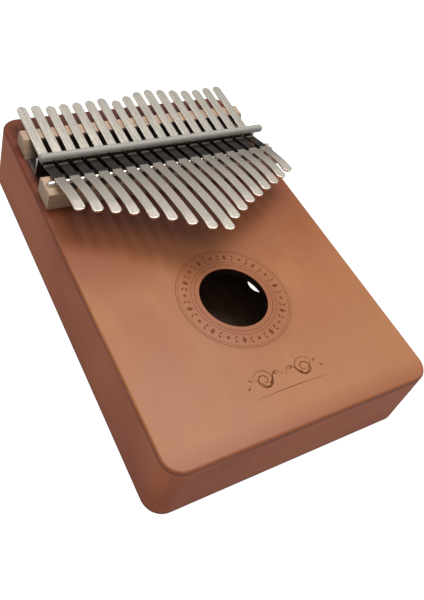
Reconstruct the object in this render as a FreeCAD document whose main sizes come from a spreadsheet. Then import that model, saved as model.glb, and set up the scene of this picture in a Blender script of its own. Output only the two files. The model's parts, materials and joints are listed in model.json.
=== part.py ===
import FreeCAD, Part
import math
import os
import Sketcher

# A seventeen-key box mbira (kalimba). Sizes are in millimetres.
# +X is the player's right, +Y points from the sound hole to the key tails, +Z is up.
# The origin is the centre of the box's footprint, at the height of the surface it rests on.
# Each key is one spring-steel strip that bends where it crosses the saddle rod, so it is made
# as a clamped tail and a playing blade, with a hairline gap between them above the rod.

KEY_COUNT = 17
MIDDLE_KEY = 9

SIZES = {
    # the wooden box
    "body_length": 185,
    "body_width": 123.3,
    "body_height": 32.5,
    "corner_radius": 8.2,
    "top_round": 1.2,
    "bottom_round": 0.5,
    "soundboard_thickness": 3.5,
    "back_thickness": 3,
    "wall_thickness": 7,
    "sound_hole_radius": 14.9,
    "sound_hole_x": -1.9,
    "sound_hole_y": -32.3,
    "finger_hole_radius": 5.5,
    "finger_hole_x": 34.7,
    "finger_hole_y": -11.4,
    "block_front": 31,
    "block_rear": 78.5,
    "block_depth": 9,
    # the two wooden bridges and the steel rod on the front one
    "front_bridge_length": 119.2,
    "front_bridge_width": 11.4,
    "front_bridge_height": 8.7,
    "front_bridge_y": 38,
    "rod_length": 116.4,
    "rod_radius": 1.5,
    "rod_rise": 9.1,
    "rod_y": 38.2,
    "rear_bridge_length": 117,
    "rear_bridge_width": 10.8,
    "rear_bridge_y": 69.6,
    "rear_bridge_bevel": 4.5,
    "bridge_edge_round": 0.5,
    # the bent sheet-metal bracket, its screws, and the bar that presses the keys down
    "bracket_length": 115,
    "bracket_foot": 10.2,
    "bracket_height": 9.6,
    "sheet_metal": 1,
    "slot_floor": 6.4,
    "slot_width": 5.3,
    "bar_length": 118,
    "bar_x": 2.1,
    "bar_radius": 1.9,
    "bar_rise": 9.9,
    "bar_y": 53.6,
    "bar_end_round": 1.2,
    "screw_count": 5,
    "screw_spacing": 24,
    "screw_y": 58.8,
    "screw_radius": 1.4,
    "screw_hole_radius": 1.5,
    "screw_length": 11,
    "screw_head_radius": 2.7,
    "screw_head_height": 1.7,
    # the steel keys
    "key_width": 4.5,
    "key_thickness": 1,
    "key_pitch": 6.64,
    "key_fan_degrees": -0.05,
    "key_lift": 0.05,
    "hinge_gap": 0.2,
    "tail_slope": 0.045,
    "blade_slope": 0.266,
    "far_slope": 0.14,
    "tip_slope": 0.08,
    "tip_part": 6,
}

# How far each key reaches ahead of the pressure bar and behind it, from left to right.
BLADE_REACH = (37.8, 40.9, 43.9, 47.0, 51.8, 55.3, 60.4, 65.4, 68.0,
               61.9, 58.0, 53.8, 50.7, 47.2, 44.1, 40.8, 36.9)
TAIL_REACH = (35.5, 35.4, 34.0, 34.6, 34.7, 35.1, 35.9, 33.4, 35.7,
              37.9, 38.9, 37.9, 36.7, 35.6, 35.2, 35.9, 36.2)

doc = FreeCAD.newDocument("mbira")
sheet = doc.addObject("Spreadsheet::Sheet", "Sizes")


def fill_sheet():
    """Write every driving dimension into the sheet, one row each, with its alias."""
    rows = dict(SIZES)
    for number in range(1, KEY_COUNT + 1):
        rows["blade_reach_%02d" % number] = BLADE_REACH[number - 1]
        rows["tail_reach_%02d" % number] = TAIL_REACH[number - 1]
    for row, (alias, size) in enumerate(rows.items(), start=1):
        sheet.set("A%d" % row, alias.replace("_", " "))
        sheet.set("B%d" % row, str(size))
        sheet.setAlias("B%d" % row, alias)
    doc.recompute()


def value(expression):
    """The number that an expression over the sheet's cells gives now."""
    return float(sheet.evalExpression(expression))


def new_body(label):
    body = doc.addObject("PartDesign::Body", label)
    body.Label = label
    return body


def place(body, x="0", y="0", z="0", turn="0"):
    """Stand a body at a point that the sheet's cells give, turned about Z by some degrees."""
    body.Placement = FreeCAD.Placement(FreeCAD.Vector(), FreeCAD.Rotation(FreeCAD.Vector(0, 0, 1), 1))
    body.setExpression("Placement.Base.x", x)
    body.setExpression("Placement.Base.y", y)
    body.setExpression("Placement.Base.z", z)
    body.setExpression("Placement.Rotation.Angle", turn)


def new_sketch(body, name, role, height="0"):
    """A sketch on one of the body's own origin planes, or at a height above it."""
    sketch = body.newObject("Sketcher::SketchObject", name)
    plane = [feature for feature in body.Origin.OriginFeatures if feature.Role == role][0]
    sketch.AttachmentSupport = [(plane, "")]
    sketch.MapMode = "FlatFace"
    sketch.setExpression("AttachmentOffset.Base.z", height)
    return sketch


def fix_point(sketch, side, end, x, y):
    """Hold one end of a side at a place that is bound to the sheet."""
    for kind, expression in (("DistanceX", x), ("DistanceY", y)):
        held = sketch.addConstraint(Sketcher.Constraint(kind, -1, 1, side, end, value(expression)))
        sketch.setExpression("Constraints[%d]" % held, expression)


def fix_radius(sketch, side, radius):
    held = sketch.addConstraint(Sketcher.Constraint("Radius", side, value(radius)))
    sketch.setExpression("Constraints[%d]" % held, radius)


def add_circle(sketch, x, y, radius):
    centre = FreeCAD.Vector(value(x), value(y), 0)
    circle = Part.Circle(centre, FreeCAD.Vector(0, 0, 1), value(radius))
    side = sketch.addGeometry(circle)
    fix_point(sketch, side, 3, x, y)
    fix_radius(sketch, side, radius)


def add_outline(sketch, corners, arcs=()):
    """Close a loop of sides through corners, counter-clockwise.

    A side is straight, unless arcs gives its number the expressions of its centre and radius."""
    arcs = dict(arcs)
    points = [FreeCAD.Vector(value(x), value(y), 0) for x, y in corners]
    sides = []
    for number, start in enumerate(points):
        end = points[(number + 1) % len(points)]
        if number in arcs:
            centre_x, centre_y, radius = arcs[number]
            centre = FreeCAD.Vector(value(centre_x), value(centre_y), 0)
            circle = Part.Circle(centre, FreeCAD.Vector(0, 0, 1), value(radius))
            angles = [math.atan2(point.y - centre.y, point.x - centre.x) for point in (start, end)]
            sides.append(sketch.addGeometry(Part.ArcOfCircle(circle, angles[0], angles[1])))
        else:
            sides.append(sketch.addGeometry(Part.LineSegment(start, end)))
    for number, side in enumerate(sides):
        sketch.addConstraint(Sketcher.Constraint("Coincident", side, 2, sides[(number + 1) % len(sides)], 1))
        fix_point(sketch, side, 1, corners[number][0], corners[number][1])
        if number in arcs:
            fix_radius(sketch, side, arcs[number][2])


def add_box(sketch, left, right, low, high):
    """A rectangle between two X and two Y expressions."""
    add_outline(sketch, [(left, low), (right, low), (right, high), (left, high)])


def pad(body, sketch, length, both_ways=False):
    feature = body.newObject("PartDesign::Pad", sketch.Name + "_pad")
    feature.Profile = sketch
    feature.SideType = "Symmetric" if both_ways else "One side"
    feature.setExpression("Length", length)
    doc.recompute()


def cut_through(body, sketch, length=None):
    """Cut a sketch's shape out of the body, both ways from its plane, and check that it removed metal."""
    before = body.Tip.Shape.Volume
    feature = body.newObject("PartDesign::Pocket", sketch.Name + "_cut")
    feature.Profile = sketch
    feature.SideType = "Symmetric"
    if length is None:
        feature.Type = "ThroughAll"
    else:
        feature.Type = "Length"
        feature.setExpression("Length", length)
    doc.recompute()
    if feature.Shape.Volume >= before:
        raise RuntimeError(feature.Name + " cuts nothing")
    return feature


def repeat_along_x(body, features, sketch, count, length):
    """A straight row of copies of some features, which the sheet's cells space out along +X."""
    pattern = body.newObject("PartDesign::LinearPattern", features[0].Name + "_row")
    pattern.Originals = features
    pattern.Direction = (sketch, ["H_Axis"])
    pattern.setExpression("Length", length)
    pattern.setExpression("Occurrences", count)
    body.Tip = pattern
    doc.recompute()


def round_edges(body, radius, chosen):
    """Round the edges of the body that the test picks by their two ends."""
    base = body.Tip
    names = []
    for number, edge in enumerate(base.Shape.Edges, start=1):
        if chosen(edge):
            names.append("Edge%d" % number)
    fillet = body.newObject("PartDesign::Fillet", body.Name + "_round%d" % len(body.Group))
    fillet.Base = (base, names)
    fillet.setExpression("Radius", radius)
    doc.recompute()


def is_upright(edge):
    """True for a straight edge along Z."""
    ends = [vertex.Point for vertex in edge.Vertexes]
    if len(ends) != 2:
        return False
    span = ends[1] - ends[0]
    return abs(span.x) < 1e-6 and abs(span.y) < 1e-6


def lies_at(edge, height):
    """True for an edge that lies at one height."""
    box = edge.BoundBox
    return abs(box.ZMin - height) < 1e-6 and abs(box.ZMax - height) < 1e-6


def on_rim(edge, height):
    """True for an edge of a plate's outer rim, at a height."""
    box = edge.BoundBox
    beyond_holes = max(abs(box.XMin), abs(box.XMax)) > 50 or max(abs(box.YMin), abs(box.YMax)) > 80
    return lies_at(edge, height) and beyond_holes


# The box

def plate(label, thickness, bottom):
    """A flat board with the footprint of the box and its rounded corners."""
    body = new_body(label)
    place(body, z=bottom)
    sketch = new_sketch(body, label + "_blank", "XY_Plane")
    add_box(sketch, "-Sizes.body_width / 2", "Sizes.body_width / 2",
            "-Sizes.body_length / 2", "Sizes.body_length / 2")
    pad(body, sketch, thickness)
    round_edges(body, "Sizes.corner_radius", is_upright)
    return body


def screw_holes(body, height="0"):
    """The row of holes that the bracket's screws pass through."""
    sketch = new_sketch(body, body.Name + "_screw_hole", "XY_Plane", height)
    add_circle(sketch, "-Sizes.screw_spacing * (Sizes.screw_count - 1) / 2", "Sizes.screw_y",
               "Sizes.screw_hole_radius")
    hole = cut_through(body, sketch)
    repeat_along_x(body, [hole], sketch, "Sizes.screw_count",
                   "Sizes.screw_spacing * (Sizes.screw_count - 1)")


def make_soundboard():
    body = plate("soundboard", "Sizes.soundboard_thickness",
                 "Sizes.body_height - Sizes.soundboard_thickness")
    sketch = new_sketch(body, "sound_hole", "XY_Plane")
    add_circle(sketch, "Sizes.sound_hole_x", "Sizes.sound_hole_y", "Sizes.sound_hole_radius")
    cut_through(body, sketch)
    screw_holes(body)
    top = value("Sizes.soundboard_thickness")
    round_edges(body, "Sizes.top_round", lambda edge: on_rim(edge, top))


def make_back_plate():
    body = plate("back_plate", "Sizes.back_thickness", "0")
    sketch = new_sketch(body, "finger_holes", "XY_Plane")
    for side in ("-", ""):
        add_circle(sketch, side + "Sizes.finger_hole_x", "Sizes.finger_hole_y", "Sizes.finger_hole_radius")
    cut_through(body, sketch)
    round_edges(body, "Sizes.bottom_round", lambda edge: on_rim(edge, 0))


def make_side_board(label, half_length, distance, turn):
    """One mitred board of the frame, made along Y with its outer face towards -X."""
    body = new_body(label)
    place(body, z="Sizes.back_thickness", turn=turn)
    outer = "-(%s)" % distance
    inner = "(Sizes.wall_thickness - %s)" % distance
    mitre_x = "(Sizes.corner_radius * (1 - sqrt(0.5)) - %s)" % distance
    mitre_y = "(%s - Sizes.corner_radius * (1 - sqrt(0.5)))" % half_length
    inner_y = "(%s - Sizes.wall_thickness)" % half_length
    straight_y = "(%s - Sizes.corner_radius)" % half_length
    corners = [
        (outer, "-" + straight_y),
        (mitre_x, "-" + mitre_y),
        (inner, "-" + inner_y),
        (inner, inner_y),
        (mitre_x, mitre_y),
        (outer, straight_y),
    ]
    centre_x = "(Sizes.corner_radius - %s)" % distance
    arcs = {
        0: (centre_x, "-" + straight_y, "Sizes.corner_radius"),
        4: (centre_x, straight_y, "Sizes.corner_radius"),
    }
    sketch = new_sketch(body, label + "_outline", "XY_Plane")
    add_outline(sketch, corners, arcs)
    pad(body, sketch, "Sizes.body_height - Sizes.soundboard_thickness - Sizes.back_thickness")


def make_anchor_block():
    """The block glued under the soundboard, which the bracket's screws bite into."""
    body = new_body("anchor_block")
    place(body, z="Sizes.body_height - Sizes.soundboard_thickness - Sizes.block_depth")
    sketch = new_sketch(body, "block_outline", "XY_Plane")
    add_box(sketch, "Sizes.wall_thickness - Sizes.body_width / 2",
            "Sizes.body_width / 2 - Sizes.wall_thickness", "Sizes.block_front", "Sizes.block_rear")
    pad(body, sketch, "Sizes.block_depth")
    screw_holes(body)


# The bridges and the rod

def make_front_bridge():
    """A bar of light wood with a round-bottomed groove along its top for the saddle rod."""
    body = new_body("front_bridge")
    place(body, y="Sizes.front_bridge_y", z="Sizes.body_height")
    sketch = new_sketch(body, "front_bridge_section", "YZ_Plane")
    add_box(sketch, "-Sizes.front_bridge_width / 2", "Sizes.front_bridge_width / 2",
            "0", "Sizes.front_bridge_height")
    pad(body, sketch, "Sizes.front_bridge_length", both_ways=True)
    top = value("Sizes.front_bridge_height")
    round_edges(body, "Sizes.bridge_edge_round", lambda edge: lies_at(edge, top))
    groove = new_sketch(body, "rod_groove", "YZ_Plane")
    add_circle(groove, "Sizes.rod_y - Sizes.front_bridge_y", "Sizes.rod_rise", "Sizes.rod_radius")
    cut_through(body, groove, "Sizes.rod_length")


def make_saddle_rod():
    body = new_body("saddle_rod")
    place(body, y="Sizes.rod_y", z="Sizes.body_height + Sizes.rod_rise")
    sketch = new_sketch(body, "rod_section", "YZ_Plane")
    add_circle(sketch, "0", "0", "Sizes.rod_radius")
    pad(body, sketch, "Sizes.rod_length", both_ways=True)
    round_edges(body, "Sizes.rod_radius * 0.3", lambda edge: abs(edge.BoundBox.XLength) < 1e-6)


def make_rear_bridge():
    """A bar of light wood with a bevelled front, whose top slopes with the key tails that rest on it."""
    body = new_body("rear_bridge")
    place(body, y="Sizes.rear_bridge_y", z="Sizes.body_height")
    rise = "Sizes.tail_slope * (Sizes.rear_bridge_y - Sizes.bar_y)"
    middle = "(%s + %s - Sizes.key_thickness / 2)" % (KEY_AT_BAR, rise)
    half_rise = "Sizes.tail_slope * Sizes.rear_bridge_width / 2"
    sketch = new_sketch(body, "rear_bridge_section", "YZ_Plane")
    add_outline(sketch, [
        ("-Sizes.rear_bridge_width / 2", "0"),
        ("Sizes.rear_bridge_width / 2", "0"),
        ("Sizes.rear_bridge_width / 2", "%s + %s" % (middle, half_rise)),
        ("Sizes.rear_bridge_bevel - Sizes.rear_bridge_width / 2",
         "%s - %s + Sizes.tail_slope * Sizes.rear_bridge_bevel" % (middle, half_rise)),
    ])
    pad(body, sketch, "Sizes.rear_bridge_length", both_ways=True)
    round_edges(body, "Sizes.bridge_edge_round", lambda edge: edge.BoundBox.ZMin > 4)


# The bracket, the pressure bar and the screws

# Height above the soundboard of a key's middle plane where the bar presses it.
KEY_AT_BAR = "(Sizes.bar_rise - Sizes.bar_radius - Sizes.key_thickness / 2)"
# The same above the rod, so that a sloping key just clears the rod's top.
KEY_AT_ROD = "(Sizes.rod_rise + (Sizes.rod_radius + Sizes.key_thickness / 2 + Sizes.key_lift) * 1.025)"


def make_bracket():
    """Bent sheet metal: a foot screwed to the soundboard, and an upright comb between the keys."""
    body = new_body("bracket")
    place(body, y="Sizes.bar_y", z="Sizes.body_height")
    front = "-Sizes.sheet_metal / 2"
    back = "Sizes.sheet_metal / 2"
    foot_end = "Sizes.bracket_foot - Sizes.sheet_metal / 2"
    sketch = new_sketch(body, "bracket_section", "YZ_Plane")
    add_outline(sketch, [
        (front, "0"),
        (foot_end, "0"),
        (foot_end, "Sizes.sheet_metal"),
        (back, "Sizes.sheet_metal"),
        (back, "Sizes.bracket_height"),
        (front, "Sizes.bracket_height"),
    ])
    pad(body, sketch, "Sizes.bracket_length", both_ways=True)
    slot = new_sketch(body, "key_slot", "XZ_Plane")
    first = "Sizes.key_pitch * %d" % (1 - MIDDLE_KEY)
    add_box(slot, first + " - Sizes.slot_width / 2", first + " + Sizes.slot_width / 2",
            "Sizes.slot_floor", "Sizes.bracket_height + Sizes.sheet_metal")
    cut = cut_through(body, slot)
    repeat_along_x(body, [cut], slot, str(KEY_COUNT), "Sizes.key_pitch * %d" % (KEY_COUNT - 1))
    hole = new_sketch(body, "bracket_screw_hole", "XY_Plane")
    add_circle(hole, "-Sizes.screw_spacing * (Sizes.screw_count - 1) / 2", "Sizes.screw_y - Sizes.bar_y",
               "Sizes.screw_hole_radius")
    drilled = cut_through(body, hole)
    repeat_along_x(body, [drilled], hole, "Sizes.screw_count",
                   "Sizes.screw_spacing * (Sizes.screw_count - 1)")


def make_pressure_bar():
    """A round bar with domed ends, grooved underneath where it seats on the bracket's comb."""
    body = new_body("pressure_bar")
    place(body, x="Sizes.bar_x", y="Sizes.bar_y", z="Sizes.body_height + Sizes.bar_rise")
    sketch = new_sketch(body, "bar_section", "YZ_Plane")
    add_circle(sketch, "0", "0", "Sizes.bar_radius")
    pad(body, sketch, "Sizes.bar_length", both_ways=True)
    round_edges(body, "Sizes.bar_end_round", lambda edge: abs(edge.BoundBox.XLength) < 1e-6)
    groove = new_sketch(body, "bar_groove", "YZ_Plane", "-Sizes.bar_x")
    add_box(groove, "-Sizes.sheet_metal / 2", "Sizes.sheet_metal / 2",
            "-Sizes.bar_radius - Sizes.sheet_metal", "Sizes.bracket_height - Sizes.bar_rise")
    cut_through(body, groove, "Sizes.bracket_length")


def make_bracket_screws():
    """A row of round-headed wood screws with a crossed recess, one node."""
    body = new_body("bracket_screws")
    body.AllowCompound = True
    place(body, x="-Sizes.screw_spacing * (Sizes.screw_count - 1) / 2", y="Sizes.screw_y",
          z="Sizes.body_height + Sizes.sheet_metal")
    half = new_sketch(body, "screw_half_section", "XZ_Plane")
    add_outline(half, [
        ("0", "-Sizes.screw_length"),
        ("Sizes.screw_radius", "-Sizes.screw_length + 2 * Sizes.screw_radius"),
        ("Sizes.screw_radius", "0"),
        ("Sizes.screw_head_radius", "0"),
        ("Sizes.screw_head_radius", "Sizes.screw_head_height * 0.45"),
        ("Sizes.screw_head_radius * 0.6", "Sizes.screw_head_height"),
        ("0", "Sizes.screw_head_height"),
    ])
    turned = body.newObject("PartDesign::Revolution", "screw_turned")
    turned.Profile = half
    turned.ReferenceAxis = (half, ["V_Axis"])
    turned.Angle = 360
    doc.recompute()
    recess = new_sketch(body, "screw_recess", "XY_Plane", "Sizes.screw_head_height")
    arm = "Sizes.screw_head_radius * 0.55"
    edge = "Sizes.screw_head_radius * 0.13"
    add_outline(recess, [
        (arm, "-" + edge), (arm, edge), (edge, edge), (edge, arm), ("-" + edge, arm), ("-" + edge, edge),
        ("-" + arm, edge), ("-" + arm, "-" + edge), ("-" + edge, "-" + edge), ("-" + edge, "-" + arm),
        (edge, "-" + arm), (edge, "-" + edge),
    ])
    cross = cut_through(body, recess, "Sizes.screw_head_height * 1.2")
    repeat_along_x(body, [turned, cross], half, "Sizes.screw_count",
                   "Sizes.screw_spacing * (Sizes.screw_count - 1)")


# The keys

def make_strip(label, number, stations):
    """One stretch of a key: a thin band through stations, seen from the side, with its far end rounded.

    Each station is a distance from the pressure bar, positive towards the tail, and a height."""
    steps = number - MIDDLE_KEY
    body = new_body(label)
    place(body, x="Sizes.key_pitch * (%d)" % steps, y="Sizes.bar_y", z="Sizes.body_height",
          turn="Sizes.key_fan_degrees * (%d)" % steps)
    half = "Sizes.key_thickness / 2"
    low = [(y, "%s - %s" % (z, half)) for y, z in stations]
    high = [(y, "%s + %s" % (z, half)) for y, z in reversed(stations)]
    sketch = new_sketch(body, label + "_section", "YZ_Plane")
    add_outline(sketch, low + high)
    pad(body, sketch, "Sizes.key_width", both_ways=True)
    far_end = max((value(y) for y, z in stations), key=abs)
    round_edges(body, "Sizes.key_width * 0.47",
                lambda edge: is_upright(edge) and abs(edge.Vertexes[0].Y - far_end) < 1e-6)


def make_key(number):
    hinge = "(Sizes.rod_y - Sizes.bar_y)"
    tail_end = "Sizes.tail_reach_%02d" % number
    tail_height = "%s + Sizes.tail_slope * %s" % (KEY_AT_BAR, tail_end)
    make_strip("key_%02d_tail" % number, number, [
        (hinge + " + Sizes.hinge_gap / 2", KEY_AT_ROD),
        ("0", KEY_AT_BAR),
        (tail_end, tail_height),
    ])
    tip = "-Sizes.blade_reach_%02d" % number
    middle = "((%s + %s) / 2)" % (hinge, tip)
    middle_height = "(%s + Sizes.blade_slope * (%s - %s))" % (KEY_AT_ROD, hinge, middle)
    bend = "(%s + Sizes.tip_part)" % tip
    bend_height = "(%s + Sizes.far_slope * (%s - %s))" % (middle_height, middle, bend)
    make_strip("key_%02d_blade" % number, number, [
        (tip, "%s + Sizes.tip_slope * Sizes.tip_part" % bend_height),
        (bend, bend_height),
        (middle, middle_height),
        (hinge + " - Sizes.hinge_gap / 2", KEY_AT_ROD),
    ])


def make_everything():
    half_width = "Sizes.body_width / 2"
    half_length = "Sizes.body_length / 2"
    make_soundboard()
    make_back_plate()
    make_side_board("left_side", half_length, half_width, "0")
    make_side_board("right_side", half_length, half_width, "180")
    make_side_board("front_side", half_width, half_length, "90")
    make_side_board("rear_side", half_width, half_length, "270")
    make_anchor_block()
    make_front_bridge()
    make_saddle_rod()
    make_rear_bridge()
    make_bracket()
    make_pressure_bar()
    make_bracket_screws()
    for number in range(1, KEY_COUNT + 1):
        make_key(number)


def check_and_write():
    """Stop on a failed object or a bad shape, then write one STEP file for each sub-part."""
    doc.recompute()
    failed = [thing.Name for thing in doc.Objects if {"Invalid", "Error"} & set(thing.State)]
    if failed:
        raise RuntimeError("failed objects: " + ", ".join(failed))
    bodies = [thing for thing in doc.Objects if thing.TypeId == "PartDesign::Body"]
    for body in bodies:
        if body.Shape.isNull() or not body.Shape.isValid() or body.Shape.Volume <= 0:
            raise RuntimeError("bad shape: " + body.Label)
    os.makedirs("parts", exist_ok=True)
    for body in bodies:
        body.Shape.exportStep("parts/%s.step" % body.Label)
        box = body.Shape.BoundBox
        print("%-18s solids %d  x %.2f..%.2f  y %.2f..%.2f  z %.2f..%.2f" % (
            body.Label, len(body.Shape.Solids), box.XMin, box.XMax, box.YMin, box.YMax, box.ZMin, box.ZMax))
    print(len(bodies), "sub-parts written")


fill_sheet()
make_everything()
check_and_write()
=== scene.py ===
import json
import math

import bpy
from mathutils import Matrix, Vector


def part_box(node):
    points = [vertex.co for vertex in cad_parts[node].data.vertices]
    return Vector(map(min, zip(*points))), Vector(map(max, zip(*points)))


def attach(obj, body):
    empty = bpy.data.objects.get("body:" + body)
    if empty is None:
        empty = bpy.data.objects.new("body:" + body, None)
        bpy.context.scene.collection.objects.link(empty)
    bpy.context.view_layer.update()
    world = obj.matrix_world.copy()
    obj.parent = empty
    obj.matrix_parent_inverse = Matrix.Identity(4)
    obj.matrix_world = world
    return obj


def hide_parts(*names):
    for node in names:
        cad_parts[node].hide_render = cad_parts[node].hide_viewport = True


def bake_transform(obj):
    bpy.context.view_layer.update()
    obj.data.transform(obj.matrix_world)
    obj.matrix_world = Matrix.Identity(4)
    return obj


# A seventeen-key box mbira. Metres, in the CAD's frame: +Y from the sound hole to the key tails, +Z up.

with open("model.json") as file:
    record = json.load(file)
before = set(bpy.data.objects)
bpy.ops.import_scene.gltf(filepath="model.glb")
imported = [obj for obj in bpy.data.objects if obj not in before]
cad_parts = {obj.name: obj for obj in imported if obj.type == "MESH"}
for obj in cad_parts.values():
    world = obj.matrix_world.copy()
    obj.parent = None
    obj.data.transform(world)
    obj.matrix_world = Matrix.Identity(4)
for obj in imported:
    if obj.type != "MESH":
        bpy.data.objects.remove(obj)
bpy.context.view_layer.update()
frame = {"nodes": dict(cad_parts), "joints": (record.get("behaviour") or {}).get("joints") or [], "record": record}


# Places and sizes: the frame gives the places, and the rest are the CAD's own sizes

MM = 0.001
KEY_COUNT = 17
MIDDLE_KEY = 9
HOLE_RADIUS = 14.9 * MM
TOP_ROUND = 1.2 * MM
REAR_BRIDGE_BEVEL = 4.5 * MM

board_low, board_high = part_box("soundboard")
bar_low, bar_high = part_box("pressure_bar")
rod_low, rod_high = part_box("saddle_rod")
TOP = board_high.z
FRONT = board_low.y
BAR_Y = (bar_low.y + bar_high.y) / 2
ROD_Y = (rod_low.y + rod_high.y) / 2
REAR_BRIDGE_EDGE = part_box("rear_bridge")[0].y + REAR_BRIDGE_BEVEL
BRACKET_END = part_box("bracket")[1].x
HINGES = {joint["child"]: Vector(joint["pos_m"]) for joint in frame["joints"]}

OPENINGS = {opening["name"]: opening["box_m"] for opening in frame["record"]["physics"]["openings"]}
hole_low, hole_high = OPENINGS["sound_hole"]
HOLE_X = (hole_low[0] + hole_high[0]) / 2
HOLE_Y = (hole_low[1] + hole_high[1]) / 2


# Colours

TOP_STAINS = ((0.30, 0.088, 0.028), (0.36, 0.120, 0.038), (0.40, 0.150, 0.052))
SIDE_STAINS = ((0.31, 0.075, 0.032), (0.41, 0.115, 0.053), (0.49, 0.160, 0.080))
GOLD = (0.43, 0.185, 0.080)
REAR_DARK_TONE = (0.165, 0.034, 0.012)
STAIN_RED = (0.26, 0.060, 0.026)
# painted shade under the keys
PAINTED_SHADE_UNDER_KEYS = (0.055, 0.013, 0.006)
# the dark of the seam line, also used for the painted shade at the foot
SEAM_AND_FOOT_SHADE = (0.115, 0.022, 0.010)
SHELTER = (0.018, 0.011, 0.008)
CHAR = (0.020, 0.009, 0.006)
CUT_METAL = (0.95, 0.94, 0.92)
WHITE = (1, 1, 1)


def scaled(colour, share):
    return tuple(share * part for part in colour)


# Where each stain, the rear darkening and the painted shade under the keys start and where they are full: along
# the box, with a slant across it ...
GOLD_ZONE = (-30 * MM, -95 * MM)
GOLD_SLANT = -0.45
FRONT_ZONE = (FRONT + 9 * MM, FRONT + 1 * MM)
REAR_ZONE = (-12 * MM, 50 * MM)
REAR_WAVER = 20 * MM
UNDER_ZONE = (-9 * MM, 3 * MM)
UNDER_SLANT = -0.55

# ... out from the sound hole's axis, and from the middle key's line
HOLE_ZONE = (28 * MM, 17 * MM)
BESIDE_ZONE = (57 * MM, 50 * MM)

# ... and by height
RIM_ZONE = (TOP - 0.1 * MM, TOP - 1.0 * MM)
SEAM_ZONE = (TOP - 1.7 * MM, TOP - 1.35 * MM)
SEAM_WANDER = 0.8 * MM
FOOT_ZONE = (2.0 * MM, 0.3 * MM)

# The dark under the keys starts at a line across them, and reaches so far to each side
BRIDGE_SHELTER = (ROD_Y - 5.2 * MM, 52 * MM)
REAR_SHELTER = (ROD_Y + 1.2 * MM, 55 * MM)
BOARD_SHELTER = (ROD_Y + 1.2 * MM, 58 * MM)


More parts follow.
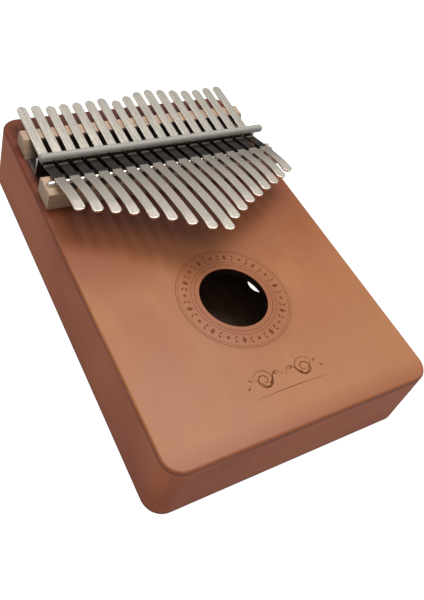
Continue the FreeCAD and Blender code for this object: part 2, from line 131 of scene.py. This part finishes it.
class Paint:
    """One procedural material: a Principled shader, and short calls that add the nodes that feed it."""

    def __init__(self, name, **sockets):
        self.material = bpy.data.materials.new(name)
        self.material.use_nodes = True
        self.nodes = self.material.node_tree.nodes
        self.links = self.material.node_tree.links
        self.shader = self.nodes["Principled BSDF"]
        for socket, value in sockets.items():
            self.shader.inputs[socket.replace("_", " ")].default_value = value
        self.place = self.nodes.new("ShaderNodeTexCoord").outputs["Object"]

    def join(self, source, socket):
        self.links.new(source, socket)

    # textures

    def stretched(self, scale, shift=(0, 0, 0)):
        """The object's own coordinates, scaled by axis, so that a texture is drawn out along one of them."""
        node = self.nodes.new("ShaderNodeMapping")
        node.inputs["Scale"].default_value = scale
        node.inputs["Location"].default_value = shift
        self.join(self.place, node.inputs["Vector"])
        return node.outputs["Vector"]

    def noise(self, vector, scale, detail=3.0, rough=0.55, distortion=0.0):
        node = self.nodes.new("ShaderNodeTexNoise")
        node.inputs["Scale"].default_value = scale
        node.inputs["Detail"].default_value = detail
        node.inputs["Roughness"].default_value = rough
        node.inputs["Distortion"].default_value = distortion
        self.join(vector, node.inputs["Vector"])
        return node.outputs["Fac"]

    # colours

    def ramp(self, source, *stops):
        """A colour ramp through (place, colour) stops."""
        node = self.nodes.new("ShaderNodeValToRGB")
        elements = node.color_ramp.elements
        while len(elements) < len(stops):
            elements.new(0.5)
        for element, (place, colour) in zip(elements, stops):
            element.position = place
            element.color = (*colour, 1)
        self.join(source, node.inputs["Fac"])
        return node.outputs["Color"]

    def mix(self, share, first, second):
        """The first colour with a share of the second over it. A colour is a socket or a tuple."""
        node = self.nodes.new("ShaderNodeMix")
        node.data_type = "RGBA"
        self.join(share, node.inputs[0])
        for socket, colour in ((node.inputs[6], first), (node.inputs[7], second)):
            if isinstance(colour, tuple):
                socket.default_value = (*colour, 1)
            else:
                self.join(colour, socket)
        return node.outputs[2]

    # numbers

    def calculate(self, operation, *values):
        node = self.nodes.new("ShaderNodeMath")
        node.operation = operation
        for socket, value in zip(node.inputs, values):
            if isinstance(value, bpy.types.NodeSocket):
                self.join(value, socket)
            else:
                socket.default_value = value
        return node.outputs["Value"]

    def times(self, first, second):
        return self.calculate("MULTIPLY", first, second)

    def plus(self, start, added, weight):
        """A number plus a weight times another."""
        return self.calculate("MULTIPLY_ADD", added, weight, start)

    def span(self, source, low, high, to_low, to_high):
        """A number mapped from one range to another, and held inside it."""
        node = self.nodes.new("ShaderNodeMapRange")
        for socket, value in zip(("From Min", "From Max", "To Min", "To Max"), (low, high, to_low, to_high)):
            node.inputs[socket].default_value = value
        self.join(source, node.inputs["Value"])
        return node.outputs["Result"]

    def fade(self, source, zone, share=1.0):
        """Nothing where the zone starts, and the full share where it ends and beyond."""
        start, end = zone
        return self.span(source, start, end, 0.0, share)

    def band(self, source, low, high, soft):
        """One between two values, with soft ends inside them."""
        return self.times(self.fade(source, (low, low + soft)), self.fade(source, (high, high - soft)))

    # places on the object

    def axis(self, name):
        node = self.nodes.new("ShaderNodeSeparateXYZ")
        self.join(self.place, node.inputs["Vector"])
        return node.outputs[name]

    def off_middle(self):
        """Distance from the middle key's line, across the keys."""
        return self.calculate("ABSOLUTE", self.axis("X"))

    def from_hole(self):
        """Distance from the sound hole's axis."""
        flat = self.nodes.new("ShaderNodeCombineXYZ")
        self.join(self.axis("X"), flat.inputs["X"])
        self.join(self.axis("Y"), flat.inputs["Y"])
        away = self.nodes.new("ShaderNodeVectorMath")
        away.operation = "DISTANCE"
        self.join(flat.outputs["Vector"], away.inputs[0])
        away.inputs[1].default_value = (HOLE_X, HOLE_Y, 0)
        return away.outputs["Value"]

    def hole_wall(self):
        """One on the sound hole's wall below the soundboard's face, nothing elsewhere."""
        wall = self.fade(self.from_hole(), (HOLE_RADIUS + 0.30 * MM, HOLE_RADIUS + 0.15 * MM))
        below_face = self.fade(self.axis("Z"), (TOP - 0.15 * MM, TOP - 0.7 * MM))
        return self.times(wall, below_face)

    def recess(self, front, half_width):
        """Nearly one on the wood under the keys, from a line across them to the rear bridge's top."""
        along = self.axis("Y")
        ahead = self.fade(along, (front, front + 1.2 * MM))
        behind = self.fade(along, (REAR_BRIDGE_EDGE + 0.2 * MM, REAR_BRIDGE_EDGE - 0.6 * MM))
        inside = self.fade(self.off_middle(), (half_width + 1.5 * MM, half_width - 1.5 * MM), 0.92)
        return self.times(self.times(ahead, behind), inside)

    # what reaches the shader

    def colour(self, source):
        self.join(source, self.shader.inputs["Base Color"])

    def roughness(self, source):
        self.join(source, self.shader.inputs["Roughness"])

    def bump(self, height, strength, distance):
        node = self.nodes.new("ShaderNodeBump")
        node.inputs["Strength"].default_value = strength
        node.inputs["Distance"].default_value = distance
        self.join(height, node.inputs["Height"])
        self.join(node.outputs["Normal"], self.shader.inputs["Normal"])


# Wood

def stain_and_painted_shade_top(paint, wood, cloud, dark):
    """The soundboard's stain: gold towards the front and darker round the hole. It also turns darker towards the
    rear, and has dark red painted shade under the keys.
    """
    patches = paint.noise(paint.stretched((1, 0.8, 1), shift=(9, 1, 5)), 24, detail=3, rough=0.6)
    smudges = paint.noise(paint.stretched((1, 0.7, 1), shift=(4, 8, 2)), 42, detail=4, rough=0.65)
    wood = paint.mix(paint.fade(patches, (0.46, 0.70), 0.5), wood, GOLD)
    wood = paint.mix(paint.fade(smudges, (0.48, 0.70), 0.45), wood, dark)
    forward = paint.plus(paint.axis("Y"), paint.axis("X"), GOLD_SLANT)
    wood = paint.mix(paint.fade(forward, GOLD_ZONE, 0.75), wood, GOLD)
    wood = paint.mix(paint.fade(paint.axis("Y"), FRONT_ZONE, 0.55), wood, STAIN_RED)
    wood = paint.mix(paint.fade(paint.from_hole(), HOLE_ZONE, 0.75), wood, dark)
    # darker towards the rear, with a wavering edge
    wavering = paint.plus(paint.axis("Y"), cloud, REAR_WAVER)
    wood = paint.mix(paint.fade(wavering, REAR_ZONE), wood, REAR_DARK_TONE)
    # painted shade under the keys: dark red, starting a little behind their tips
    inwards = paint.plus(paint.axis("Y"), paint.off_middle(), UNDER_SLANT)
    beside_keys = paint.fade(paint.off_middle(), BESIDE_ZONE)
    painted_shade_under_keys = paint.times(paint.fade(inwards, UNDER_ZONE, 0.7), beside_keys)
    return paint.mix(painted_shade_under_keys, wood, PAINTED_SHADE_UNDER_KEYS)


def shade_top(paint, wood):
    """Red on the rounded rim, dark where the keys keep the light out, and charred in the hole."""
    wood = paint.mix(paint.fade(paint.axis("Z"), RIM_ZONE, 0.75), wood, STAIN_RED)
    wood = paint.mix(paint.recess(*BOARD_SHELTER), wood, SHELTER)
    return paint.mix(paint.hole_wall(), wood, CHAR)


def edge_lines(paint, wood):
    """On a side: a broken dark line where the stain gathers below the rim, and painted shade darkening the foot.
    """
    long = (1, 1, 0.2)
    wander = paint.plus(paint.axis("Z"), paint.noise(paint.stretched(long), 60), SEAM_WANDER)
    breaks = paint.noise(paint.stretched(long, shift=(7, 3, 0)), 34)
    line = paint.times(paint.fade(wander, SEAM_ZONE), paint.span(breaks, 0.38, 0.62, 0.25, 1.0))
    wood = paint.mix(line, wood, SEAM_AND_FOOT_SHADE)
    # painted shade along the foot
    return paint.mix(paint.fade(paint.axis("Z"), FOOT_ZONE, 0.85), wood, SEAM_AND_FOOT_SHADE)


def stained_wood(name, stains, along="y", rough=0.50, gloss=0.08, is_top=False):
    """Reddish stained wood with soft clouds, long grain and fine pores, under a satin finish."""
    paint = Paint(name, Roughness=rough, Specular_IOR_Level=gloss)
    dark, middle, light = stains
    drawn_out = {"y": (1.0, 0.45, 1.0), "x": (0.45, 1.0, 1.0)}[along]
    fine = {"y": (1.0, 0.03, 1.0), "x": (0.03, 1.0, 1.0)}[along]
    blotch = paint.noise(paint.stretched(drawn_out), 26, detail=3, rough=0.5, distortion=0.6)
    cloud = paint.noise(paint.stretched((1, 1, 1), shift=(2, 4, 1)), 17, detail=2)
    grain = paint.noise(paint.stretched(fine), 520, detail=4, rough=0.65)
    pores = paint.noise(paint.stretched(fine, shift=(3, 1, 2)), 2600, detail=2)
    wood = paint.ramp(blotch, (0.30, dark), (0.50, middle), (0.70, light))
    wood = paint.mix(paint.fade(cloud, (0.40, 0.72), 0.5), wood, light)
    if is_top:
        wood = stain_and_painted_shade_top(paint, wood, cloud, dark)
    wood = paint.mix(paint.fade(grain, (0.40, 0.80), 0.16), wood, dark)
    wood = paint.mix(paint.fade(pores, (0.62, 0.82), 0.14), wood, dark)
    paint.colour(shade_top(paint, wood) if is_top else edge_lines(paint, wood))
    paint.roughness(paint.span(blotch, 0.3, 0.7, rough - 0.03, rough + 0.04))
    paint.bump(pores, 0.10, 0.2 * MM)
    return paint.material


def bare_wood(name, dark, light, along="x"):
    """Light, finely sanded wood with narrow grain lines, dark where the keys keep the light out."""
    paint = Paint(name, Roughness=0.55)
    drawn_out = {"x": (0.05, 1.0, 1.0), "y": (1.0, 0.05, 1.0)}[along]
    grain = paint.noise(paint.stretched(drawn_out), 520, detail=4, rough=0.6, distortion=0.4)
    flecks = paint.noise(paint.stretched(drawn_out, shift=(5, 2, 1)), 2300, detail=2)
    wood = paint.ramp(grain, (0.30, dark), (0.62, light))
    wood = paint.mix(paint.fade(flecks, (0.60, 0.78), 0.35), wood, dark)
    wood = paint.mix(paint.recess(*BRIDGE_SHELTER), wood, SHELTER)
    paint.colour(paint.mix(paint.recess(*REAR_SHELTER), wood, SHELTER))
    paint.roughness(paint.span(grain, 0.3, 0.7, 0.48, 0.62))
    paint.bump(flecks, 0.12, 0.1 * MM)
    return paint.material


def burnt_line(name):
    """The brown of a shallow burnt line."""
    paint = Paint(name, Roughness=0.75, Specular_IOR_Level=0.1)
    char = paint.noise(paint.stretched((1, 1, 1)), 900, detail=3)
    paint.colour(paint.ramp(char, (0.35, (0.115, 0.036, 0.012)), (0.70, (0.25, 0.088, 0.032))))
    return paint.material


# Metal

def satin_steel(name, colour, tint, rough):
    """Ground spring steel: fine scratches along the key, cloudy polish and a slight warm tint in places.

    It has painted shade between the bar and the rod, but for a bright line where the key bends ahead of the bar."""
    paint = Paint(name, Metallic=1.0, Roughness=rough)
    scratches = paint.noise(paint.stretched((1.0, 0.02, 1.0)), 1800, detail=3, rough=0.7)
    cloud = paint.noise(paint.stretched((1.0, 0.5, 1.0)), 130, detail=2)
    along = paint.axis("Y")
    tail = paint.fade(along, (BAR_Y - 1 * MM, BAR_Y + 1 * MM))
    bar_to_rod = paint.band(along, ROD_Y + 0.2 * MM, BAR_Y - 0.5 * MM, soft=1.0 * MM)
    bright_bend = paint.band(along, BAR_Y - 4.2 * MM, BAR_Y - 2.6 * MM, soft=0.5 * MM)
    sheltered = paint.plus(bar_to_rod, bright_bend, -0.85)
    steel = paint.mix(paint.fade(cloud, (0.35, 0.70), 0.6), colour, tint)
    steel = paint.mix(paint.fade(scratches, (0.45, 0.75), 0.5), steel, scaled(colour, 0.82))
    steel = paint.mix(tail, steel, scaled(colour, 0.78))
    # painted shade: the steel darkened between the bar and the rod
    paint.colour(paint.mix(sheltered, steel, scaled(colour, 0.10)))
    polish = paint.span(scratches, 0.3, 0.75, rough - 0.05, rough + 0.08)
    paint.roughness(paint.plus(polish, sheltered, 0.08))
    return paint.material


def bright_metal(name, colour, rough, grain=(1, 1, 1), metallic=1.0, cut_ends=None):
    """Plated or polished metal with faint wiping marks.

    If cut_ends is given, the metal is bare and bright further than that from the middle key's line."""
    paint = Paint(name, Metallic=metallic, Roughness=rough)
    marks = paint.noise(paint.stretched(grain), 700, detail=3, rough=0.6)
    metal = paint.mix(paint.fade(marks, (0.45, 0.75), 0.6), colour, scaled(colour, 0.82))
    if cut_ends:
        metal = paint.mix(paint.fade(paint.off_middle(), (cut_ends, cut_ends + 0.1 * MM)), metal, CUT_METAL)
    paint.colour(metal)
    paint.roughness(paint.span(marks, 0.3, 0.8, rough - 0.05, rough + 0.08))
    return paint.material


# The materials, and the CAD nodes that show them

ALONG_BAR = (0.05, 1, 1)
CUT_EDGE = BRACKET_END - 0.3 * MM

TOP_WOOD = stained_wood("stained_top", TOP_STAINS, rough=0.38, gloss=0.30, is_top=True)
SIDE_WOOD_Y = stained_wood("stained_sides", SIDE_STAINS)
SIDE_WOOD_X = stained_wood("stained_ends", SIDE_STAINS, along="x")
BRIDGE_WOOD = bare_wood("bare_maple", (0.36, 0.225, 0.145), (0.50, 0.345, 0.23))
BLOCK_WOOD = bare_wood("bare_spruce", (0.45, 0.30, 0.17), (0.62, 0.45, 0.28))
# Painted shade: the box's inside floor is dark, as little light gets in there.
INSIDE_WOOD_PAINTED_SHADE = bare_wood("inside_wood_painted_shade", (0.09, 0.05, 0.028), (0.15, 0.085, 0.048), along="y")
KEY_STEEL = satin_steel("key_steel", (0.94, 0.86, 0.74), (0.94, 0.79, 0.70), 0.25)
BAR_STEEL = bright_metal("bar_steel", (0.36, 0.335, 0.30), 0.55, ALONG_BAR, metallic=0.15)
ROD_STEEL = bright_metal("rod_steel", (0.72, 0.70, 0.66), 0.16, ALONG_BAR)
PLATE = bright_metal("bracket_plate", (0.40, 0.39, 0.37), 0.22, cut_ends=CUT_EDGE)
SCREW_STEEL = bright_metal("screw_steel", (0.60, 0.59, 0.56), 0.28)
BURNT = burnt_line("burnt_line")

NODE_MATERIALS = {
    "soundboard": TOP_WOOD,
    "back_plate": SIDE_WOOD_Y,
    "left_side": SIDE_WOOD_Y,
    "right_side": SIDE_WOOD_Y,
    "front_side": SIDE_WOOD_X,
    "rear_side": SIDE_WOOD_X,
    "anchor_block": BLOCK_WOOD,
    "front_bridge": BRIDGE_WOOD,
    "rear_bridge": BRIDGE_WOOD,
    "saddle_rod": ROD_STEEL,
    "pressure_bar": BAR_STEEL,
    "bracket": PLATE,
    "bracket_screws": SCREW_STEEL,
}
WORN_NODES = ("bracket", "front_bridge", "rear_bridge")
WEAR = 0.18 * MM
RING_OUTSIDE = 25 * MM


def wear_edges(node_name):
    worn_edge = frame["nodes"][node_name].modifiers.new("worn_edge", "BEVEL")
    worn_edge.width = WEAR
    worn_edge.segments = 2
    worn_edge.limit_method = "ANGLE"
    worn_edge.angle_limit = math.radians(40)


def second_material(node_name, material, is_shown_on):
    """Gives a node another material on the faces that a test picks."""
    mesh = frame["nodes"][node_name].data
    mesh.materials.append(material)
    for face in mesh.polygons:
        if is_shown_on(face):
            face.material_index = 1


def is_board_edge(face):
    """True on the soundboard's upright edge, below its rounded rim, and not in the sound hole."""
    beyond_ring = math.hypot(face.center.x - HOLE_X, face.center.y - HOLE_Y) > RING_OUTSIDE
    return abs(face.normal.z) < 0.05 and face.center.z < TOP - TOP_ROUND and beyond_ring


def looks_up(face):
    return face.normal.z > 0.9


for node_name, material in NODE_MATERIALS.items():
    mesh = frame["nodes"][node_name].data
    mesh.materials.clear()
    mesh.materials.append(material)

for node_name in WORN_NODES:
    wear_edges(node_name)

second_material("soundboard", SIDE_WOOD_Y, is_board_edge)
# painted shade on the inside floor of the box
second_material("back_plate", INSIDE_WOOD_PAINTED_SHADE, looks_up)


def mesh_piece(name, points, faces, material, smooth=True):
    mesh = bpy.data.meshes.new(name)
    mesh.from_pydata([tuple(point) for point in points], [], faces)
    mesh.validate()
    mesh.materials.append(material)
    mesh.polygons.foreach_set("use_smooth", [smooth] * len(mesh.polygons))
    piece = bpy.data.objects.new(name, mesh)
    bpy.context.scene.collection.objects.link(piece)
    return piece


# The keys: each is one steel strip, clamped under the bar and bent where it crosses the rod.
# Places along a key are measured ahead of the bar, towards the tip.

KEY_WIDTH = 4.5 * MM
KEY_THICKNESS = 1.0 * MM
KEY_FAN = math.radians(-0.05)
TIP_WIDTH = 4.9 * MM
TIP_FLARE = 8 * MM
END_RADIUS = 2.1 * MM
END_HALF_WIDTH = 0.25 * MM
EDGE_RADIUS = 0.28 * MM
CORNER_STEPS = 3
SECTION_POINTS = 4 * (CORNER_STEPS + 1)

# slopes of a key, up towards the tip
TAIL_SLOPE = -0.045
BAR_SLOPE = 0.46
ROD_SLOPE = 0.266
BLADE_SLOPE = 0.14
TIP_SLOPE = 0.05

# where the slope changes: lengths, and on the blade shares of it
BAR_BEND = 5.5 * MM
ROD_BEND = 3.0 * MM
ROD_BEND_LEAD = 2.2 * MM
BLADE_BEND = 0.7
BLADE_BEND_START = 0.15
TIP_BEND = 3.0 * MM
TIP_BEND_LEAD = 7.5 * MM
PAST_ROD = 2 * MM


def ease(share):
    share = min(1.0, max(0.0, share))
    return share * share * (3 - 2 * share)


def key_slope(ahead, rod, tip):
    """How steeply a key rises: up from the bar, flatter past the rod, and nearly level at the tip."""
    if ahead < 0:
        return TAIL_SLOPE
    along_blade = (ahead - rod) / (tip - rod)
    return (TAIL_SLOPE + (BAR_SLOPE - TAIL_SLOPE) * ease(ahead / BAR_BEND)
            + (ROD_SLOPE - BAR_SLOPE) * ease((ahead - rod + ROD_BEND_LEAD) / ROD_BEND)
            + (BLADE_SLOPE - ROD_SLOPE) * ease((along_blade - BLADE_BEND_START) / BLADE_BEND)
            + (TIP_SLOPE - BLADE_SLOPE) * ease((ahead - tip + TIP_BEND_LEAD) / TIP_BEND))


def steps_to(start, end, count):
    """Evenly spaced places after a start, up to an end."""
    return [start + (end - start) * step / count for step in range(1, count + 1)]


def key_stations(tail, rod, tip):
    """Places along a key, closer together round its two ends and over the rod."""
    quarter = [math.pi / 2 * step / 8 for step in range(9)]
    round_tail = [-tail + END_RADIUS * (1 - math.cos(angle)) for angle in quarter]
    round_tip = [tip - END_RADIUS * (1 - math.sin(angle)) for angle in quarter[1:]]
    past_rod = rod + PAST_ROD
    return (round_tail + steps_to(END_RADIUS - tail, 0, 12) + steps_to(0, past_rod, 20)
            + steps_to(past_rod, tip - END_RADIUS, 24) + round_tip)


def value_at(place, stations, values):
    """The value at a place, in line between those of the stations on its two sides."""
    for index in range(len(stations) - 1):
        before, after = stations[index], stations[index + 1]
        if before <= place <= after:
            share = (place - before) / (after - before)
            return values[index] + share * (values[index + 1] - values[index])
    return values[-1]


def key_heights(stations, rod, tip, bar_height, rod_height, tip_height):
    """Heights along a key: its slopes added up, then scaled to meet the rod's height and the tip's."""
    climbs = [0.0]
    for before, after in zip(stations, stations[1:]):
        climbs.append(climbs[-1] + key_slope((before + after) / 2, rod, tip) * (after - before))
    at_bar = value_at(0, stations, climbs)
    at_rod = value_at(rod, stations, climbs)
    to_rod = (rod_height - bar_height) / (at_rod - at_bar)
    to_tip = (tip_height - rod_height) / (climbs[-1] - at_rod)
    heights = []
    for ahead, climb in zip(stations, climbs):
        if ahead <= 0:
            heights.append(bar_height + climb - at_bar)
        elif ahead <= rod:
            heights.append(bar_height + (climb - at_bar) * to_rod)
        else:
            heights.append(rod_height + (climb - at_rod) * to_tip)
    return heights


def key_half_width(ahead, tail, tip):
    """Half a key's width: a little more towards the tip, and rounded off at both ends."""
    half = (KEY_WIDTH + (TIP_WIDTH - KEY_WIDTH) * ease((ahead - tip + TIP_FLARE) / TIP_FLARE)) / 2
    from_end = min(ahead + tail, tip - ahead)
    if from_end < END_RADIUS:
        inside = 1 - ((END_RADIUS - from_end) / END_RADIUS) ** 2
        half = half - END_RADIUS + END_RADIUS * math.sqrt(max(0.0, inside))
    return max(half, END_HALF_WIDTH)


def key_section(half_width):
    """A rounded rectangle across a key, as (sideways, up) pairs, counter-clockwise."""
    half_thickness = KEY_THICKNESS / 2
    radius = min(EDGE_RADIUS, half_width * 0.9)
    points = []
    for corner, (side, up) in enumerate(((1, -1), (1, 1), (-1, 1), (-1, -1))):
        for step in range(CORNER_STEPS + 1):
            angle = math.pi / 2 * (corner - 1 + step / CORNER_STEPS)
            points.append((side * (half_width - radius) + radius * math.cos(angle),
                           up * (half_thickness - radius) + radius * math.sin(angle)))
    return points


def tube_faces(ring_count, ring_size):
    """Faces round a row of rings of points, with a cap at each end."""
    faces = []
    for ring in range(ring_count - 1):
        start, after = ring * ring_size, (ring + 1) * ring_size
        for side in range(ring_size):
            beside = (side + 1) % ring_size
            faces.append((start + side, after + side, after + beside, start + beside))
    last = (ring_count - 1) * ring_size
    faces.append(tuple(range(ring_size)))
    faces.append(tuple(last + side for side in reversed(range(ring_size))))
    return faces


def make_key(number):
    tail_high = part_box("key_%02d_tail" % number)[1]
    blade_low, blade_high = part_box("key_%02d_blade" % number)
    hinge = HINGES["key_%02d" % number]
    rod = BAR_Y - hinge.y
    tip = BAR_Y - blade_low.y
    tail = tail_high.y - BAR_Y
    stations = key_stations(tail, rod, tip)
    heights = key_heights(stations, rod, tip, bar_height=bar_low.z - KEY_THICKNESS / 2,
                          rod_height=hinge.z, tip_height=blade_high.z - KEY_THICKNESS / 2)

    turn = KEY_FAN * (number - MIDDLE_KEY)
    bar_x = hinge.x - math.sin(turn) * rod
    points = []
    for ahead, height in zip(stations, heights):
        slope = math.atan(key_slope(ahead, rod, tip))
        for sideways, up in key_section(key_half_width(ahead, tail, tip)):
            back = -ahead + up * math.sin(slope)
            points.append((bar_x + sideways * math.cos(turn) - back * math.sin(turn),
                           BAR_Y + sideways * math.sin(turn) + back * math.cos(turn),
                           height + up * math.cos(slope)))

    faces = tube_faces(len(stations), SECTION_POINTS)
    key = mesh_piece("key_%02d_strip" % number, points, faces, KEY_STEEL)
    weighted = key.modifiers.new("even_shading", "WEIGHTED_NORMAL")
    weighted.keep_sharp = False
    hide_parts("key_%02d_tail" % number, "key_%02d_blade" % number)
    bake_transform(key)


for number in range(1, KEY_COUNT + 1):
    make_key(number)


# The burnt ornaments: a ring of generic marks round the sound hole, and a small scroll below it

LINE_TOP = TOP + 0.03 * MM
LINE_FOOT = TOP - 0.10 * MM
CIRCLE_STEPS = 144
RING_LINES = ((24.8, 0.22), (23.9, 0.16), (18.4, 0.16), (16.9, 0.22))
MARKS_RADIUS = 21.1 * MM
MARK_COUNT = 40


class Engraving:
    """Collects flat-topped burnt strokes and patches that stand a hair above the soundboard."""

    def __init__(self):
        self.points = []
        self.faces = []

    def patch(self, outline):
        """A filled convex patch."""
        first = len(self.points)
        count = len(outline)
        for height in (LINE_TOP, LINE_FOOT):
            self.points += [(x, y, height) for x, y in outline]
        self.faces.append(tuple(first + place for place in range(count)))
        for place in range(count):
            after = (place + 1) % count
            self.faces.append((first + after, first + place, first + count + place, first + count + after))

    def stroke(self, line, widths, closed=False):
        """A ribbon along a line of (x, y) points, with a width at each point."""
        first = len(self.points)
        count = len(line)
        for place, (x, y) in enumerate(line):
            before = line[place - 1] if place or closed else line[0]
            after = line[(place + 1) % count] if place < count - 1 or closed else line[-1]
            run = Vector((after[0] - before[0], after[1] - before[1]))
            side = Vector((-run.y, run.x)).normalized() * widths[place] / 2
            for height in (LINE_TOP, LINE_FOOT):
                self.points.append((x + side.x, y + side.y, height))
                self.points.append((x - side.x, y - side.y, height))
        for place in range(count if closed else count - 1):
            a, b = first + 4 * place, first + 4 * ((place + 1) % count)
            self.faces.append((a, a + 1, b + 1, b))
            self.faces.append((a + 2, a, b, b + 2))
            self.faces.append((a + 1, a + 3, b + 3, b + 1))

    def finish(self, name):
        piece = mesh_piece(name, self.points, self.faces, BURNT, smooth=False)
        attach(piece, "box")


def shares(count):
    """Numbers from 0 to 1 in a count of equal steps."""
    return [step / count for step in range(count + 1)]


def swelling(least, most, count):
    """Widths along a stroke, in millimetres: least at its ends and widest in the middle."""
    return [(least + (most - least) * math.sin(math.pi * share)) * MM for share in shares(count)]


def circle(radius):
    turns = [2 * math.pi * step / CIRCLE_STEPS for step in range(CIRCLE_STEPS)]
    return [(HOLE_X + radius * math.cos(turn), HOLE_Y + radius * math.sin(turn)) for turn in turns]


def ring_lines():
    lines = Engraving()
    for radius, width in RING_LINES:
        lines.stroke(circle(radius * MM), [width * MM] * CIRCLE_STEPS, closed=True)
    lines.finish("ring_lines")


def ring_marks():
    """Diamonds, leaf pairs and dots, repeated round the ring."""
    marks = Engraving()
    for place in range(MARK_COUNT):
        angle = 2 * math.pi * place / MARK_COUNT
        out = Vector((math.cos(angle), math.sin(angle)))
        along = Vector((-out.y, out.x))
        centre = Vector((HOLE_X, HOLE_Y)) + out * MARKS_RADIUS

        def spot(up, side):
            """A point so many millimetres outwards and along the ring from the mark's centre."""
            point = centre + out * up * MM + along * side * MM
            return (point.x, point.y)

        kind = place % 4
        if kind == 0:
            marks.patch([spot(1.7, 0), spot(0, 0.95), spot(-1.7, 0), spot(0, -0.95)])
        elif kind == 2:
            tenths = [step * math.pi / 5 for step in range(10)]
            marks.patch([spot(0.7 * math.sin(tenth), 0.7 * math.cos(tenth)) for tenth in tenths])
        else:
            for sign in (1, -1):
                leaf = [spot(sign * (0.25 + 1.3 * share), 1.1 * (share - 0.5)) for share in shares(5)]
                marks.stroke(leaf, [width * MM for width in (0.14, 0.5, 0.68, 0.62, 0.42, 0.12)])
    marks.finish("ring_marks")


def scroll():
    """Two mirrored scrolls with leaves, over a long tapering line."""
    lines = Engraving()
    centre_x, centre_y = HOLE_X + 1.2 * MM, HOLE_Y - 38.5 * MM
    for side in (1, -1):
        curl = []
        for share in shares(48):
            angle = 0.5 + share * 3.6 * math.pi
            reach = (4.6 - 3.9 * share) * MM
            curl.append((centre_x + side * (9.5 * MM + reach * math.cos(angle)),
                         centre_y + reach * math.sin(angle)))
        lines.stroke(curl, swelling(0.15, 0.55, 48))
        stem = [(centre_x + side * (0.6 + 13.4 * share) * MM,
                 centre_y + (3.2 * math.sin(2.4 * math.pi * share) - 0.6) * MM * (1 - 0.4 * share))
                for share in shares(30)]
        lines.stroke(stem, swelling(0.12, 0.48, 30))
        for place, lean in ((3.0, 1), (6.5, -1), (14.5, 1), (16.5, -1)):
            leaf = [(centre_x + side * (place + 1.6 * share) * MM,
                     centre_y + lean * (0.7 + 2.3 * share - 1.2 * share * share) * MM)
                    for share in shares(4)]
            lines.stroke(leaf, [width * MM for width in (0.12, 0.55, 0.7, 0.5, 0.1)])
    underline = [(centre_x + (-18 + 36 * share) * MM,
                  centre_y - (6.4 - 0.5 * math.sin(math.pi * share)) * MM) for share in shares(24)]
    lines.stroke(underline, swelling(0.06, 0.28, 24))
    lines.finish("scroll")


ring_lines()
ring_marks()
scroll()


# Floor, light and camera

FLOOR_GLOW = 0.46
DOME_GLOW = 0.50


def make_floor():
    """A pale floor, bright to the eye and dimmer as a source of light on the object."""
    side, level = 4.0, -0.1 * MM
    corners = [(-side, -side, level), (side, -side, level), (side, side, level), (-side, side, level)]
    mesh = bpy.data.meshes.new("floor")
    mesh.from_pydata(corners, [], [(0, 1, 2, 3)])
    floor = bpy.data.objects.new("floor", mesh)
    bpy.context.scene.collection.objects.link(floor)
    paint = Paint("pale_floor", Roughness=0.9, Specular_IOR_Level=0.0)
    paint.shader.inputs["Base Color"].default_value = (0.20, 0.20, 0.20, 1)
    paint.shader.inputs["Emission Color"].default_value = (*WHITE, 1)
    seen = paint.nodes.new("ShaderNodeLightPath").outputs["Is Camera Ray"]
    paint.join(paint.span(seen, 0, 1, FLOOR_GLOW, 1.0), paint.shader.inputs["Emission Strength"])
    mesh.materials.append(paint.material)


def make_sky():
    """A soft white dome that is dark close to the horizon, and plain white where it is looked at."""
    world = bpy.data.worlds.new("studio")
    world.use_nodes = True
    nodes, links = world.node_tree.nodes, world.node_tree.links
    dome = nodes["Background"]
    dome.inputs["Strength"].default_value = DOME_GLOW
    coordinates = nodes.new("ShaderNodeTexCoord")
    split = nodes.new("ShaderNodeSeparateXYZ")
    ramp = nodes.new("ShaderNodeValToRGB")
    stops = ((0.0, 0.02), (0.18, 0.03), (0.26, 0.75), (0.70, 1.0))
    while len(ramp.color_ramp.elements) < len(stops):
        ramp.color_ramp.elements.new(0.5)
    for element, (place, level) in zip(ramp.color_ramp.elements, stops):
        element.position = place
        element.color = (level, level, level, 1)
    links.new(coordinates.outputs["Generated"], split.inputs["Vector"])
    links.new(split.outputs["Z"], ramp.inputs["Fac"])
    links.new(ramp.outputs["Color"], dome.inputs["Color"])

    plain = nodes.new("ShaderNodeBackground")
    plain.inputs["Color"].default_value = (*WHITE, 1)
    choice = nodes.new("ShaderNodeMixShader")
    links.new(nodes.new("ShaderNodeLightPath").outputs["Is Camera Ray"], choice.inputs[0])
    links.new(dome.outputs["Background"], choice.inputs[1])
    links.new(plain.outputs["Background"], choice.inputs[2])
    links.new(choice.outputs["Shader"], nodes["World Output"].inputs["Surface"])
    bpy.context.scene.world = world


def square_light(name, place, target, side, power):
    data = bpy.data.lights.new(name, "AREA")
    data.shape = "SQUARE"
    data.size = side
    data.energy = power
    light = bpy.data.objects.new(name, data)
    light.location = place
    light.rotation_euler = (Vector(target) - Vector(place)).to_track_quat("-Z", "Y").to_euler()
    bpy.context.scene.collection.objects.link(light)


def make_camera():
    data = bpy.data.cameras.new("camera")
    data.sensor_width = 36
    data.lens = 43.465
    data.shift_x = 0.0058
    data.shift_y = -0.1685
    data.clip_start = 0.01
    camera = bpy.data.objects.new("camera", data)
    camera.location = (-0.15527, -0.16430, 0.25669)
    camera.rotation_euler = [math.radians(angle) for angle in (46.52, -15.18, -28.54)]
    bpy.context.scene.collection.objects.link(camera)
    bpy.context.scene.camera = camera


make_floor()
make_sky()
square_light("overhead_softbox", (0.12, 0.30, 1.15), (0, 0, 0.03), side=0.75, power=9.0)
square_light("side_softbox", (0.293, 0.185, 0.83), (-0.04, -0.075, 0.03), side=0.26, power=1.3)
make_camera()
bpy.context.scene.view_settings.view_transform = "Standard"
